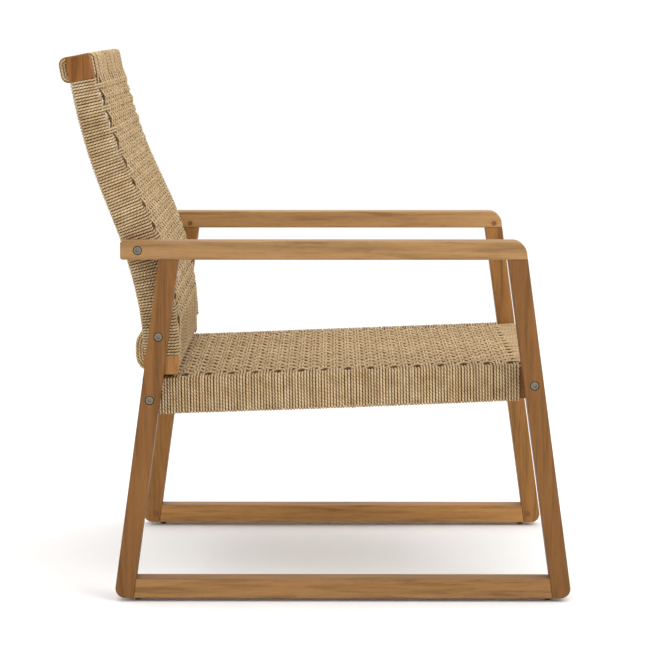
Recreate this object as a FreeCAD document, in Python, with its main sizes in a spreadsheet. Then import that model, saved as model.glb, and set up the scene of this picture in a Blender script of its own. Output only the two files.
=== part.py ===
import FreeCAD, Part
import math
import os
import Sketcher
from FreeCAD import Placement, Rotation, Vector

# Wooden armchair with a cord seat and back, in millimetres.
# X runs across the chair, the front faces -Y and +Z is up.
# Sketches use frame coordinates, where Y = 0 is the middle of the side frames.
# Each body is then moved by depth_centre, so that Y = 0 is the middle of the whole chair.

SIZES = {
    # side frames
    "half_width": 320.0,        # outer face of each side frame
    "frame_thick": 38.0,        # side frame members, across the chair
    "leg_width": 30.6,          # front to back, measured level
    "leg_foot_y": 361.2,        # outer line of a leg where it would meet the floor
    "leg_lean": 0.1383,         # how far a leg leans per millimetre of height
    "frame_low": 6.0,           # underside of the bottom rail
    "rail_top": 37.0,           # top of the bottom rail
    "arm_low": 541.0,
    "arm_top": 570.0,
    "arm_rear_y": 345.7,
    "foot_round": 15.0,
    "arm_nose_round": 21.0,
    "arm_tail_round": 4.0,
    "edge_ease": 2.0,
    "tenon_thick": 12.0,
    "tenon_long": 20.0,
    "fit_gap": 0.2,
    # fasteners
    "peg_dia": 7.5,
    "peg_long": 26.0,
    "peg_sunk": 0.4,
    "peg_ring_dia": 10.0,
    "peg_ring_deep": 1.2,
    "bolt_dia": 6.0,
    "bolt_hole_dia": 6.6,
    "bolt_head_dia": 12.0,
    "bolt_head_high": 5.0,
    "bolt_sunk": 1.5,
    "bolt_bore_dia": 14.5,
    "bolt_reach": 15.0,         # how far a bolt goes past the inner face of the side frame
    "socket_across": 6.0,
    "socket_deep": 3.0,
    "insert_dia": 10.0,
    "insert_long": 18.0,
    "glide_dia": 13.0,
    "glide_round": 4.5,
    "glide_nail_dia": 3.0,
    "glide_nail_long": 12.0,
    # seat frame
    "seat_middle_z": 332.4,     # centre line of the seat rails at Y = 0
    "seat_slope": 0.0384,       # drop per millimetre towards the rear
    "seat_rail_high": 50.0,
    "seat_front_y": -306.0,
    "seat_rear_y": 314.0,
    "seat_front_depth": 26.0,
    "seat_rear_depth": 24.0,
    "cross_tenon_long": 13.0,
    "cross_tenon_high": 30.0,
    # cord
    "cord_thick": 4.6,
    "cord_gap": 0.3,
    "weave_thick": 9.0,
    "weave_rise": 2.0,          # how far the weave stands above the wrapped rails
    # back frame
    "post_core_thick": 27.5,
    "post_low_z": 356.0,
    "post_foot_y": 284.0,
    "post_width_low": 57.5,
    "post_width_high": 38.0,
    "top_rail_depth": 44.0,
    "top_rail_high": 27.0,
    "top_rail_y": 415.5,
    "top_rail_z": 835.0,
    "top_rail_lean": 11.0,
    "low_rail_depth": 62.0,
    "low_rail_high": 61.0,
    "low_rail_y": 293.5,
    "low_rail_z": 390.0,
    "top_rail_round": 5.0,      # rear edges; the front edges are only eased
    "low_front_round": 10.0,
    "low_rail_round": 22.0,
    "boss_dia": 16.0,
    "boss_hole_dia": 16.6,
    "top_wrap_round": 9.6,
    "front_wrap_round": 6.0,
    "low_front_wrap_round": 14.6,
    "low_wrap_round": 26.6,
    "depth_centre": 42.6,
}

POST_LONG = 518                 # length of a back post along its centre line
POST_BLOCK_START = 480          # where the bare wood block at the top begins
POST_TAPER_START = 180
POST_LEAN_LOW = math.radians(1.0)
POST_LEAN_HIGH = math.radians(23.0)
POST_STRAIGHT_LOW = 20
POST_STRAIGHT_HIGH = 50
POST_BEND_LOW = 600.0
POST_BEND_HIGH = 900.0

LEFT = 1
RIGHT = -1
REAR = 1
FRONT = -1
SIDES = {"left": LEFT, "right": RIGHT}

doc = FreeCAD.newDocument("armchair")
sizes = doc.addObject("Spreadsheet::Sheet", "sizes")
for row_number, (alias, value) in enumerate(SIZES.items(), start=1):
    sizes.set("A%d" % row_number, alias)
    sizes.set("B%d" % row_number, str(value))
    sizes.setAlias("B%d" % row_number, alias)
doc.recompute()


def size(alias):
    return float(sizes.get(alias))


HALF = size("half_width")
THICK = size("frame_thick")
INNER = HALF - THICK            # inner face of each side frame
CORD = size("cord_thick")
GAP = size("cord_gap")
WRAP_FACE = INNER - GAP         # outer face of the cord on the rails and posts
CORE_FACE = WRAP_FACE - CORD    # outer face of the wood under the cord
CORE_IN = CORE_FACE - size("post_core_thick")
BLOCK_IN = CORE_IN - CORD       # inner face of the bare wood blocks
RAIL_END = BLOCK_IN - CORD      # the back rails stop here, and cord covers their ends

BARE_FRONT_Y = -280.0           # bare wood ends of the seat side rails
BARE_REAR_Y = 290.0
# each bolt, front to back and height
BOLT_SPOTS = [(318.7, 555.5), (287.6, 420.4), (302.0, 320.8), (-298.6, 343.9)]
ARM_BOLT, REAR_UPPER_BOLT, REAR_LOWER_BOLT, FRONT_BOLT = BOLT_SPOTS
PEG_SPOTS = [(271.2, 548.7), (-271.2, 548.7), (336.1, 21.7), (-336.1, 21.7)]
GLIDE_Y = 324.0
RAIL_TENON_LOW = 12.0
RAIL_TENON_HIGH = 31.0
ARM_TENON_WIDE = 20.0
MORTISE_LEAD = 10.0             # a mortise outline starts this far outside the wood
BORE_LEAD = 5.0                 # the bore of a sleeve runs this far past its ends
SMALLEST_CUT = 1.0              # a pocket that takes less volume than this has missed
SHORTEST_CROSS_EDGE = 5.0


def new_body(label):
    body = doc.addObject("PartDesign::Body", label)
    body.Label = label
    body.setExpression("Placement.Base.y", "-sizes.depth_centre")
    return body


def plane_of(body, role):
    for feature in body.Origin.OriginFeatures:
        if feature.Role == role:
            return feature
    raise ValueError("no plane " + role)


def sketch_on(body, role, offset=0.0):
    sketch = body.newObject("Sketcher::SketchObject", "sketch")
    sketch.AttachmentSupport = [(plane_of(body, role), "")]
    sketch.MapMode = "FlatFace"
    sketch.AttachmentOffset = Placement(Vector(0, 0, offset), Rotation())
    return sketch


def side_sketch(body, offset=0.0):
    # drawn in Y (front to back) and Z (height), facing +X
    return sketch_on(body, "YZ_Plane", offset)


def draw_polygon(sketch, points):
    count = len(points)
    for index in range(count):
        start = Vector(points[index][0], points[index][1], 0)
        end = Vector(points[(index + 1) % count][0], points[(index + 1) % count][1], 0)
        sketch.addGeometry(Part.LineSegment(start, end), False)
    for index in range(count):
        sketch.addConstraint(Sketcher.Constraint("Coincident", index, 2, (index + 1) % count, 1))


def draw_box(sketch, low_u, high_u, low_v, high_v):
    draw_polygon(sketch, [(low_u, low_v), (high_u, low_v), (high_u, high_v), (low_u, high_v)])


def draw_circles(sketch, spots, dia_alias):
    for spot in spots:
        circle = Part.Circle(Vector(spot[0], spot[1], 0), Vector(0, 0, 1), size(dia_alias) / 2)
        geometry = sketch.addGeometry(circle, False)
        name = "round%d" % geometry
        number = sketch.addConstraint(Sketcher.Constraint("Diameter", geometry, size(dia_alias)))
        sketch.renameConstraint(number, name)
        sketch.setExpression("Constraints." + name, "sizes." + dia_alias)


def draw_spline(sketch, points):
    curve = Part.BSplineCurve()
    curve.interpolate([Vector(point[0], point[1], 0) for point in points])
    sketch.addGeometry(curve, False)


def draw_line(sketch, start, end):
    sketch.addGeometry(Part.LineSegment(Vector(*start, 0), Vector(*end, 0)), False)


def draw_band(sketch, front_points, rear_points):
    # a closed outline from two smooth edges and two straight ends
    draw_spline(sketch, front_points)
    draw_line(sketch, front_points[-1], rear_points[-1])
    draw_spline(sketch, rear_points)
    draw_line(sketch, rear_points[0], front_points[0])


def pad(body, sketch, length, towards_low=False):
    feature = body.newObject("PartDesign::Pad", "pad")
    feature.Profile = sketch
    if isinstance(length, str):
        feature.setExpression("Length", length)
    else:
        feature.Length = length
    feature.Reversed = towards_low
    sketch.Visibility = False
    doc.recompute()
    return feature


def pocket(body, sketch, length):
    # cuts whichever way removes wood
    volume_before = body.Shape.Volume
    feature = body.newObject("PartDesign::Pocket", "pocket")
    feature.Profile = sketch
    if isinstance(length, str):
        feature.setExpression("Length", length)
    else:
        feature.Length = length
    sketch.Visibility = False
    doc.recompute()
    if not body.Shape.Volume < volume_before - SMALLEST_CUT:
        feature.Reversed = True
        doc.recompute()
    if not body.Shape.Volume < volume_before - SMALLEST_CUT:
        raise ValueError("pocket removes nothing in " + body.Label)
    return feature


def fillet(body, radius_alias, wanted):
    names = []
    for number, edge in enumerate(body.Shape.Edges, start=1):
        if wanted(edge):
            names.append("Edge%d" % number)
    if not names:
        raise ValueError("no edge to round in " + body.Label)
    base = body.Tip
    feature = body.newObject("PartDesign::Fillet", "fillet")
    feature.Base = (base, names)
    feature.setExpression("Radius", "sizes." + radius_alias)
    doc.recompute()
    return feature


def local_ends(edge):
    # end points in frame coordinates, whatever the placement of the body
    shift = size("depth_centre")
    return [Vector(v.X, v.Y + shift, v.Z) for v in edge.Vertexes]


def edge_near(spot, reach=1.0):
    # picks the edge across the chair that passes (y, z)
    def wanted(edge):
        ends = local_ends(edge)
        if len(ends) < 2 or abs(ends[0].x - ends[1].x) < SHORTEST_CROSS_EDGE:
            return False
        return all(math.hypot(e.y - spot[0], e.z - spot[1]) < reach for e in ends)
    return wanted


def flat_side_edges(edge):
    # edges that lie in one of the two side faces
    ends = local_ends(edge)
    return len(ends) == 2 and abs(ends[0].x - ends[1].x) < 0.01


def leg_line(height):
    return size("leg_foot_y") - size("leg_lean") * height


def place_side(body, side):
    # local X = 0 is the low face of the side frame
    if side == LEFT:
        body.setExpression("Placement.Base.x", "sizes.half_width - sizes.frame_thick")
    else:
        body.setExpression("Placement.Base.x", "-sizes.half_width")


def inner_offset(side):
    return 0.0 if side == LEFT else THICK


def outer_offset(side):
    return THICK if side == LEFT else 0.0


def cut_bolt_holes(body, side, spots):
    through = side_sketch(body, 0.0)
    draw_circles(through, spots, "bolt_hole_dia")
    pocket(body, through, THICK)
    counterbore = side_sketch(body, outer_offset(side))
    draw_circles(counterbore, spots, "bolt_bore_dia")
    pocket(body, counterbore, "sizes.bolt_head_high + sizes.bolt_sunk")


def cut_peg_holes(body, side, spots):
    hole = side_sketch(body, inner_offset(side))
    draw_circles(hole, spots, "peg_dia")
    pocket(body, hole, "sizes.peg_long + sizes.peg_sunk")
    ring = side_sketch(body, inner_offset(side))
    draw_circles(ring, spots, "peg_ring_dia")
    pocket(body, ring, "sizes.peg_ring_deep")


def leg(name, side, end, bolts):
    body = new_body(name)
    low = size("frame_low")
    high = size("arm_low")
    wide = size("leg_width")
    profile = side_sketch(body)
    draw_polygon(profile, [
        (end * (leg_line(low) - wide), low),
        (end * leg_line(low), low),
        (end * leg_line(high), high),
        (end * (leg_line(high) - wide), high),
    ])
    pad(body, profile, "sizes.frame_thick")
    fillet(body, "foot_round", edge_near((end * leg_line(low), low)))
    fillet(body, "edge_ease", lambda e: flat_side_edges(e) and min(p.z for p in local_ends(e)) < high - 1)
    # tenon that goes up into the arm
    middle = end * (leg_line(high) - wide / 2)
    tenon = sketch_on(body, "XY_Plane", high)
    half_tenon = size("tenon_thick") / 2
    draw_box(tenon, THICK / 2 - half_tenon, THICK / 2 + half_tenon,
             middle - ARM_TENON_WIDE / 2, middle + ARM_TENON_WIDE / 2)
    pad(body, tenon, "sizes.tenon_long")
    # mortise for the bottom rail
    mortise = side_sketch(body, THICK / 2 - half_tenon - size("fit_gap") / 2)
    tip = leg_line(low) - wide + size("tenon_long") + size("fit_gap")
    root = leg_line(low) - wide - MORTISE_LEAD
    near, far = sorted([end * root, end * tip])
    draw_box(mortise, near, far, RAIL_TENON_LOW, RAIL_TENON_HIGH)
    cut = pocket(body, mortise, "sizes.tenon_thick + sizes.fit_gap")
    cut.Reversed = True
    doc.recompute()
    place_side(body, side)
    cut_bolt_holes(body, side, bolts)
    cut_peg_holes(body, side, [spot for spot in PEG_SPOTS if spot[0] * end > 0])
    return body


def arm_rail(name, side):
    body = new_body(name)
    low = size("arm_low")
    high = size("arm_top")
    rear = size("arm_rear_y")
    profile = side_sketch(body)
    draw_polygon(profile, [(-leg_line(low), low), (rear, low), (rear, high), (-leg_line(high), high)])
    pad(body, profile, "sizes.frame_thick")
    fillet(body, "arm_nose_round", edge_near((-leg_line(high), high)))
    fillet(body, "arm_tail_round",
           lambda e: edge_near((rear, high))(e) or edge_near((rear, low))(e))
    fillet(body, "edge_ease", flat_side_edges)
    half_tenon = size("tenon_thick") / 2 + size("fit_gap") / 2
    for end in (FRONT, REAR):
        middle = end * (leg_line(low) - size("leg_width") / 2)
        mortise = sketch_on(body, "XY_Plane", low)
        draw_box(mortise, THICK / 2 - half_tenon, THICK / 2 + half_tenon,
                 middle - ARM_TENON_WIDE / 2, middle + ARM_TENON_WIDE / 2)
        pocket(body, mortise, "sizes.tenon_long + sizes.fit_gap")
    place_side(body, side)
    cut_bolt_holes(body, side, [ARM_BOLT])
    cut_peg_holes(body, side, [spot for spot in PEG_SPOTS if spot[1] > low])
    return body


def bottom_rail(name, side):
    body = new_body(name)
    low = size("frame_low")
    high = size("rail_top")
    wide = size("leg_width")
    low_end = leg_line(low) - wide
    high_end = leg_line(high) - wide
    profile = side_sketch(body)
    draw_polygon(profile, [(-low_end, low), (low_end, low), (high_end, high), (-high_end, high)])
    pad(body, profile, "sizes.frame_thick")
    fillet(body, "edge_ease", flat_side_edges)
    tenon = side_sketch(body, (THICK - size("tenon_thick")) / 2)
    tip = low_end + size("tenon_long")
    draw_box(tenon, -tip, tip, RAIL_TENON_LOW, RAIL_TENON_HIGH)
    pad(body, tenon, "sizes.tenon_thick")
    pegs = side_sketch(body, 0.0)
    draw_circles(pegs, [spot for spot in PEG_SPOTS if spot[1] < high], "peg_dia")
    pocket(body, pegs, "sizes.frame_thick")
    nails = sketch_on(body, "XY_Plane", low)
    draw_circles(nails, [(THICK / 2, -GLIDE_Y), (THICK / 2, GLIDE_Y)], "glide_nail_dia")
    pocket(body, nails, "sizes.glide_nail_long")
    place_side(body, side)
    return body


def mirrored(body, originals):
    feature = body.newObject("PartDesign::Mirrored", "mirror")
    feature.Originals = originals
    feature.MirrorPlane = (plane_of(body, "YZ_Plane"), [""])
    body.Tip = feature
    doc.recompute()
    return feature


def joint_pegs():
    body = new_body("joint_pegs")
    body.AllowCompound = True
    sketch = side_sketch(body, INNER + size("peg_sunk"))
    draw_circles(sketch, PEG_SPOTS, "peg_dia")
    pegs = pad(body, sketch, "sizes.peg_long")
    mirrored(body, [pegs])
    return body


def draw_hexagon(sketch, spot, across):
    radius = across / math.sqrt(3)
    corners = []
    for step in range(6):
        angle = math.radians(60 * step)
        corners.append((spot[0] + radius * math.cos(angle), spot[1] + radius * math.sin(angle)))
    first = sketch.GeometryCount
    for step in range(6):
        draw_line(sketch, corners[step], corners[(step + 1) % 6])
    for step in range(6):
        sketch.addConstraint(
            Sketcher.Constraint("Coincident", first + step, 2, first + (step + 1) % 6, 1))


def frame_bolts():
    body = new_body("frame_bolts")
    body.AllowCompound = True
    head_face = HALF - size("bolt_sunk")
    head_sketch = side_sketch(body, head_face - size("bolt_head_high"))
    draw_circles(head_sketch, BOLT_SPOTS, "bolt_head_dia")
    heads = pad(body, head_sketch, "sizes.bolt_head_high")
    shank_sketch = side_sketch(body, INNER - size("bolt_reach"))
    draw_circles(shank_sketch, BOLT_SPOTS, "bolt_dia")
    shank_long = "sizes.frame_thick - sizes.bolt_sunk - sizes.bolt_head_high + sizes.bolt_reach"
    shanks = pad(body, shank_sketch, shank_long)
    socket_sketch = side_sketch(body, head_face)
    for spot in BOLT_SPOTS:
        draw_hexagon(socket_sketch, spot, size("socket_across"))
    sockets = pocket(body, socket_sketch, "sizes.socket_deep")
    mirrored(body, [heads, shanks, sockets])
    return body


def threaded_inserts():
    body = new_body("threaded_inserts")
    body.AllowCompound = True
    sketch = side_sketch(body, INNER - size("insert_long"))
    draw_circles(sketch, BOLT_SPOTS, "insert_dia")
    draw_circles(sketch, BOLT_SPOTS, "bolt_dia")
    inserts = pad(body, sketch, "sizes.insert_long")
    mirrored(body, [inserts])
    return body


def glides():
    body = new_body("glides")
    body.AllowCompound = True
    across = HALF - THICK / 2
    spots = [(x, y) for x in (-across, across) for y in (-GLIDE_Y, GLIDE_Y)]
    sketch = sketch_on(body, "XY_Plane")
    draw_circles(sketch, spots, "glide_dia")
    pad(body, sketch, "sizes.frame_low")
    fillet(body, "glide_round", lambda e: all(p.z < 0.01 for p in local_ends(e)))
    nails = sketch_on(body, "XY_Plane", size("frame_low"))
    draw_circles(nails, spots, "glide_nail_dia")
    pad(body, nails, "sizes.glide_nail_long")
    return body


def seat_line(y):
    return size("seat_middle_z") - size("seat_slope") * y


def seat_strip(front, rear, below, above):
    # outline in Y and Z that follows the slope of the seat
    return [
        (front, seat_line(front) - below),
        (rear, seat_line(rear) - below),
        (rear, seat_line(rear) + above),
        (front, seat_line(front) + above),
    ]


def span_x(side, low, high):
    # where a strip between two distances from the middle starts along X
    return low if side == LEFT else -high


def add_bosses(body, side, spots):
    # round bosses that reach through the cord and bear on the side frame
    boss = side_sketch(body, side * CORE_FACE)
    draw_circles(boss, spots, "boss_dia")
    pad(body, boss, INNER - CORE_FACE, side == RIGHT)


def seat_side_rail(name, side):
    body = new_body(name)
    half_high = size("seat_rail_high") / 2
    core = side_sketch(body, span_x(side, CORE_IN, CORE_FACE))
    draw_polygon(core, seat_strip(size("seat_front_y"), size("seat_rear_y"), half_high, half_high))
    pad(body, core, "sizes.post_core_thick")
    fillet(body, "edge_ease", lambda e: flat_side_edges(e) and bare_end_edge(e))
    add_bosses(body, side, [REAR_LOWER_BOLT, FRONT_BOLT])
    # sockets for the cross rails
    for front, depth in ((size("seat_front_y"), size("seat_front_depth")),
                         (BARE_REAR_Y, size("seat_rear_depth"))):
        middle = front + depth / 2
        half_tenon = size("tenon_thick") / 2
        half_tall = size("cross_tenon_high") / 2
        mortise = side_sketch(body, side * CORE_IN)
        draw_box(mortise, middle - half_tenon, middle + half_tenon,
                 seat_line(middle) - half_tall, seat_line(middle) + half_tall)
        pocket(body, mortise, "sizes.cross_tenon_long + sizes.fit_gap")
    insert_holes(body, side, [REAR_LOWER_BOLT, FRONT_BOLT])
    return body


def bare_end_edge(edge):
    ends = local_ends(edge)
    at_front = all(p.y < size("seat_front_y") + 0.1 for p in ends)
    at_rear = all(p.y > size("seat_rear_y") - 0.1 for p in ends)
    return at_front or at_rear


def insert_holes(body, side, spots):
    holes = side_sketch(body, side * INNER)
    draw_circles(holes, spots, "insert_dia")
    pocket(body, holes, "sizes.insert_long + sizes.fit_gap")


def seat_cross_rail(name, front, depth_alias):
    body = new_body(name)
    half_high = size("seat_rail_high") / 2
    depth = size(depth_alias)
    middle = front + depth / 2
    wood = side_sketch(body, -CORE_IN)
    draw_polygon(wood, seat_strip(front, front + depth, half_high, half_high))
    pad(body, wood, 2 * CORE_IN)
    fillet(body, "edge_ease", lambda e: not flat_side_edges(e))
    tenon_reach = CORE_IN + size("cross_tenon_long")
    tenon = side_sketch(body, -tenon_reach)
    half_tenon = size("tenon_thick") / 2
    half_tall = size("cross_tenon_high") / 2
    draw_box(tenon, middle - half_tenon, middle + half_tenon,
             seat_line(middle) - half_tall, seat_line(middle) + half_tall)
    pad(body, tenon, 2 * tenon_reach)
    return body


def post_stations():
    # centre line of a back post: position and lean for every millimetre of length
    y, z, lean = size("post_foot_y"), size("post_low_z"), POST_LEAN_LOW
    bend_end = POST_STRAIGHT_LOW + POST_BEND_LOW * (POST_LEAN_HIGH - POST_LEAN_LOW)
    stations = [(y, z, lean)]
    for along in range(1, POST_LONG + 1):
        if POST_STRAIGHT_LOW <= along < bend_end:
            lean += 1 / POST_BEND_LOW
        elif along >= bend_end + POST_STRAIGHT_HIGH:
            lean -= 1 / POST_BEND_HIGH
        y += math.sin(lean)
        z += math.cos(lean)
        stations.append((y, z, lean))
    return stations


STATIONS = post_stations()


def post_width(along):
    taper = max(0.0, (along - POST_TAPER_START) / (POST_LONG - POST_TAPER_START))
    return size("post_width_low") + taper * (size("post_width_high") - size("post_width_low"))


def post_edge(along, side_of_post, inset):
    # side_of_post is FRONT or REAR; inset moves the edge towards the centre line
    y, z, lean = STATIONS[along]
    reach = post_width(along) / 2 - inset
    return (y + side_of_post * reach * math.cos(lean), z - side_of_post * reach * math.sin(lean))


def spread(start, end, count):
    return [round(start + (end - start) * step / (count - 1)) for step in range(count)]


def post_outline(sketch, start, end, front_inset, rear_inset, count=9):
    places = spread(start, end, count)
    draw_band(sketch,
              [post_edge(place, FRONT, front_inset) for place in places],
              [post_edge(place, REAR, rear_inset) for place in places])


POST_WRAP_START = 30            # the cord begins this far up the post
LOW_BLOCK_INSET = 4.2           # the bare ends stand this far behind the cord in front
TOP_BLOCK_INSET = 1.6
CORE_OVERLAP = 4                # the wood under the cord runs this far into each bare end
TOP_END_REACH = 12.0            # edges this close to the ends of a post are eased
LOW_END_REACH = 2.0
POST_SLEEVE_TRIM = 1            # clear space at each end of the cord on a post


def back_post(name, side):
    body = new_body(name)
    core = side_sketch(body, span_x(side, CORE_IN, CORE_FACE))
    post_outline(core, POST_WRAP_START - CORE_OVERLAP, POST_BLOCK_START + CORE_OVERLAP, CORD, CORD)
    pad(body, core, "sizes.post_core_thick")
    for start, end, front_inset in ((0, POST_WRAP_START, LOW_BLOCK_INSET),
                                    (POST_BLOCK_START, POST_LONG, TOP_BLOCK_INSET)):
        block = side_sketch(body, span_x(side, BLOCK_IN, INNER))
        post_outline(block, start, end, front_inset, 0.0, 3)
        pad(body, block, INNER - BLOCK_IN)
    fillet(body, "edge_ease", post_end_edge)
    add_bosses(body, side, [ARM_BOLT, REAR_UPPER_BOLT])
    insert_holes(body, side, [ARM_BOLT, REAR_UPPER_BOLT])
    # sockets for the top rail and the lower rail
    top = side_sketch(body, side * BLOCK_IN)
    draw_polygon(top, top_tenon_outline())
    pocket(body, top, "sizes.cross_tenon_long + sizes.fit_gap")
    low = side_sketch(body, side * BLOCK_IN)
    draw_polygon(low, low_tenon_outline())
    pocket(body, low, "sizes.cross_tenon_long + sizes.fit_gap")
    return body


def post_end_edge(edge):
    ends = local_ends(edge)
    if len(ends) < 2:
        return False
    top = STATIONS[POST_LONG][1] - TOP_END_REACH
    low = size("post_low_z") + LOW_END_REACH
    return all(p.z > top for p in ends) or all(p.z < low for p in ends)


def turned_box(centre_y, centre_z, depth, high, lean_degrees):
    lean = math.radians(lean_degrees)
    corners = []
    for across, up in ((-1, -1), (1, -1), (1, 1), (-1, 1)):
        u = across * depth / 2
        v = up * high / 2
        corners.append((centre_y + u * math.cos(lean) + v * math.sin(lean),
                        centre_z - u * math.sin(lean) + v * math.cos(lean)))
    return corners


TOP_TENON_BACK = 7.5            # the top tenon sits this far in front of the rail's middle
TOP_TENON_DEEP = 9.0
TOP_TENON_HIGH = 18.0
LOW_TENON_HIGH = 30.0
LOW_TENON_BACK = 6.0


def top_tenon_outline():
    return turned_box(size("top_rail_y") - TOP_TENON_BACK, size("top_rail_z"),
                      TOP_TENON_DEEP, TOP_TENON_HIGH, size("top_rail_lean"))


def low_tenon_outline(extra=0.0):
    return turned_box(size("low_rail_y") - LOW_TENON_BACK, size("low_rail_z"),
                      size("tenon_thick") + extra, LOW_TENON_HIGH + extra, 0.0)


def long_edge(edge, middle_y, end):
    # an edge along the chair's width, in front of or behind the middle of a rail
    return not flat_side_edges(edge) and all(end * (p.y - middle_y) > 0 for p in local_ends(edge))


def back_rail(name, outline, tenon_outline, middle_y, front_alias, rear_alias):
    body = new_body(name)
    wood = side_sketch(body, -RAIL_END)
    draw_polygon(wood, outline)
    pad(body, wood, 2 * RAIL_END)
    fillet(body, rear_alias, lambda e: long_edge(e, middle_y, REAR))
    fillet(body, front_alias, lambda e: long_edge(e, middle_y, FRONT))
    tenon_reach = BLOCK_IN + size("cross_tenon_long")
    tenon = side_sketch(body, -tenon_reach)
    draw_polygon(tenon, tenon_outline)
    pad(body, tenon, 2 * tenon_reach)
    return body


def back_top_rail():
    outline = turned_box(size("top_rail_y"), size("top_rail_z"),
                         size("top_rail_depth"), size("top_rail_high"), size("top_rail_lean"))
    return back_rail("back_top_rail", outline, top_tenon_outline(), size("top_rail_y"),
                     "edge_ease", "top_rail_round")


def back_bottom_rail():
    outline = turned_box(size("low_rail_y"), size("low_rail_z"),
                         size("low_rail_depth"), size("low_rail_high"), 0.0)
    return back_rail("back_bottom_rail", outline, low_tenon_outline(), size("low_rail_y"),
                     "low_front_round", "low_rail_round")


SLEEVE_TRIM = 0.3               # clear space at each end of a sleeve of cord


def seat_side_wrap(name, side):
    body = new_body(name)
    reach = size("seat_rail_high") / 2
    front = BARE_FRONT_Y + SLEEVE_TRIM
    rear = BARE_REAR_Y - SLEEVE_TRIM
    outer = side_sketch(body, span_x(side, BLOCK_IN, WRAP_FACE))
    draw_polygon(outer, seat_strip(front, rear, reach + CORD, reach + CORD))
    pad(body, outer, WRAP_FACE - BLOCK_IN)
    inner = side_sketch(body, span_x(side, CORE_IN - GAP, CORE_FACE + GAP))
    draw_polygon(inner, seat_strip(front - BORE_LEAD, rear + BORE_LEAD, reach + GAP, reach + GAP))
    bore = pocket(body, inner, CORE_FACE - CORE_IN + 2 * GAP)
    bore.Reversed = True
    doc.recompute()
    return body


def cross_wrap(name, front, depth_alias):
    body = new_body(name)
    reach = size("seat_rail_high") / 2
    depth = size(depth_alias)
    half_long = BLOCK_IN - SLEEVE_TRIM
    outer = side_sketch(body, -half_long)
    draw_polygon(outer, seat_strip(front - CORD, front + depth + CORD, reach + CORD, reach + CORD))
    pad(body, outer, 2 * half_long)
    inner = side_sketch(body, -half_long)
    draw_polygon(inner, seat_strip(front - GAP, front + depth + GAP, reach + GAP, reach + GAP))
    bore = pocket(body, inner, 2 * half_long)
    bore.Reversed = True
    doc.recompute()
    return body


def post_wrap(name, side):
    body = new_body(name)
    start = POST_WRAP_START + POST_SLEEVE_TRIM
    end = POST_BLOCK_START - POST_SLEEVE_TRIM
    outer = side_sketch(body, span_x(side, BLOCK_IN, WRAP_FACE))
    post_outline(outer, start, end, 0.0, 0.0)
    pad(body, outer, WRAP_FACE - BLOCK_IN)
    inner = side_sketch(body, span_x(side, CORE_IN - GAP, CORE_FACE + GAP))
    post_outline(inner, start - CORE_OVERLAP, end + CORE_OVERLAP, CORD - GAP, CORD - GAP)
    bore = pocket(body, inner, CORE_FACE - CORE_IN + 2 * GAP)
    bore.Reversed = True
    doc.recompute()
    # the cord parts round the bolt bosses and the tenon of the lower rail
    bosses = side_sketch(body, side * WRAP_FACE)
    draw_circles(bosses, [ARM_BOLT, REAR_UPPER_BOLT], "boss_hole_dia")
    pocket(body, bosses, CORD)
    opening = side_sketch(body, side * BLOCK_IN)
    draw_polygon(opening, low_tenon_outline(2 * GAP))
    pocket(body, opening, CORD)
    return body


def rounded_box(centre_y, centre_z, depth, high, lean, front_round, rear_round):
    # outline of a turned box as lines and arcs, with its own rounding in front and at the rear
    corners = turned_box(centre_y, centre_z, depth, high, lean)
    radii = [front_round, rear_round, rear_round, front_round]
    tilt = math.radians(lean)
    along = Vector(math.cos(tilt), -math.sin(tilt), 0)
    upward = Vector(math.sin(tilt), math.cos(tilt), 0)
    steps = [along, upward, along * -1, upward * -1]
    parts = []
    for index in range(4):
        corner = Vector(*corners[index], 0)
        radius = radii[index]
        arriving = steps[index - 1]
        leaving = steps[index]
        start = corner - arriving * radius
        end = corner + leaving * radius
        middle = corner - (arriving - leaving) * (radius * (1 - math.sqrt(0.5)))
        parts.append((start, middle, end))
    return parts


def draw_rounded_box(sketch, *box):
    parts = rounded_box(*box)
    for index in range(4):
        start, middle, end = parts[index]
        arc = Part.Arc(start, middle, end)
        sketch.addGeometry(arc, False)
        following = parts[(index + 1) % 4][0]
        draw_line(sketch, (end.x, end.y), (following.x, following.y))


def back_rail_wrap(name, rail_box, wood_rounds, cord_rounds):
    # rail_box: middle in Y and Z, depth, height and lean of the rail under the cord
    centre_y, centre_z, depth, high, lean = rail_box
    body = new_body(name)
    half_long = BLOCK_IN - SLEEVE_TRIM
    outer = side_sketch(body, -half_long)
    draw_rounded_box(outer, centre_y, centre_z, depth + 2 * CORD, high + 2 * CORD, lean, *cord_rounds)
    pad(body, outer, 2 * half_long)
    inner = side_sketch(body, -half_long)
    draw_rounded_box(inner, centre_y, centre_z, depth + 2 * GAP, high + 2 * GAP, lean, *wood_rounds)
    bore = pocket(body, inner, 2 * half_long)
    bore.Reversed = True
    doc.recompute()
    return body


def seat_weave():
    body = new_body("seat_weave")
    half_long = BLOCK_IN - SLEEVE_TRIM
    front = size("seat_front_y") + size("seat_front_depth") + CORD + SLEEVE_TRIM
    rear = BARE_REAR_Y - CORD - SLEEVE_TRIM
    above = size("seat_rail_high") / 2 + CORD + size("weave_rise")
    sketch = side_sketch(body, -half_long)
    draw_polygon(sketch, seat_strip(front, rear, size("weave_thick") - above, above))
    pad(body, sketch, 2 * half_long)
    return body


WEAVE_LOW = 70                  # where the woven part of the back begins along the posts
WEAVE_HIGH = 474


def back_weave():
    body = new_body("back_weave")
    half_long = BLOCK_IN - SLEEVE_TRIM
    places = spread(WEAVE_LOW, WEAVE_HIGH, 9)
    front = [post_edge(place, FRONT, 0.0) for place in places]
    rear = [post_edge(place, FRONT, size("weave_thick")) for place in places]
    sketch = side_sketch(body, -half_long)
    draw_band(sketch, front, rear)
    pad(body, sketch, 2 * half_long)
    return body


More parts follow.
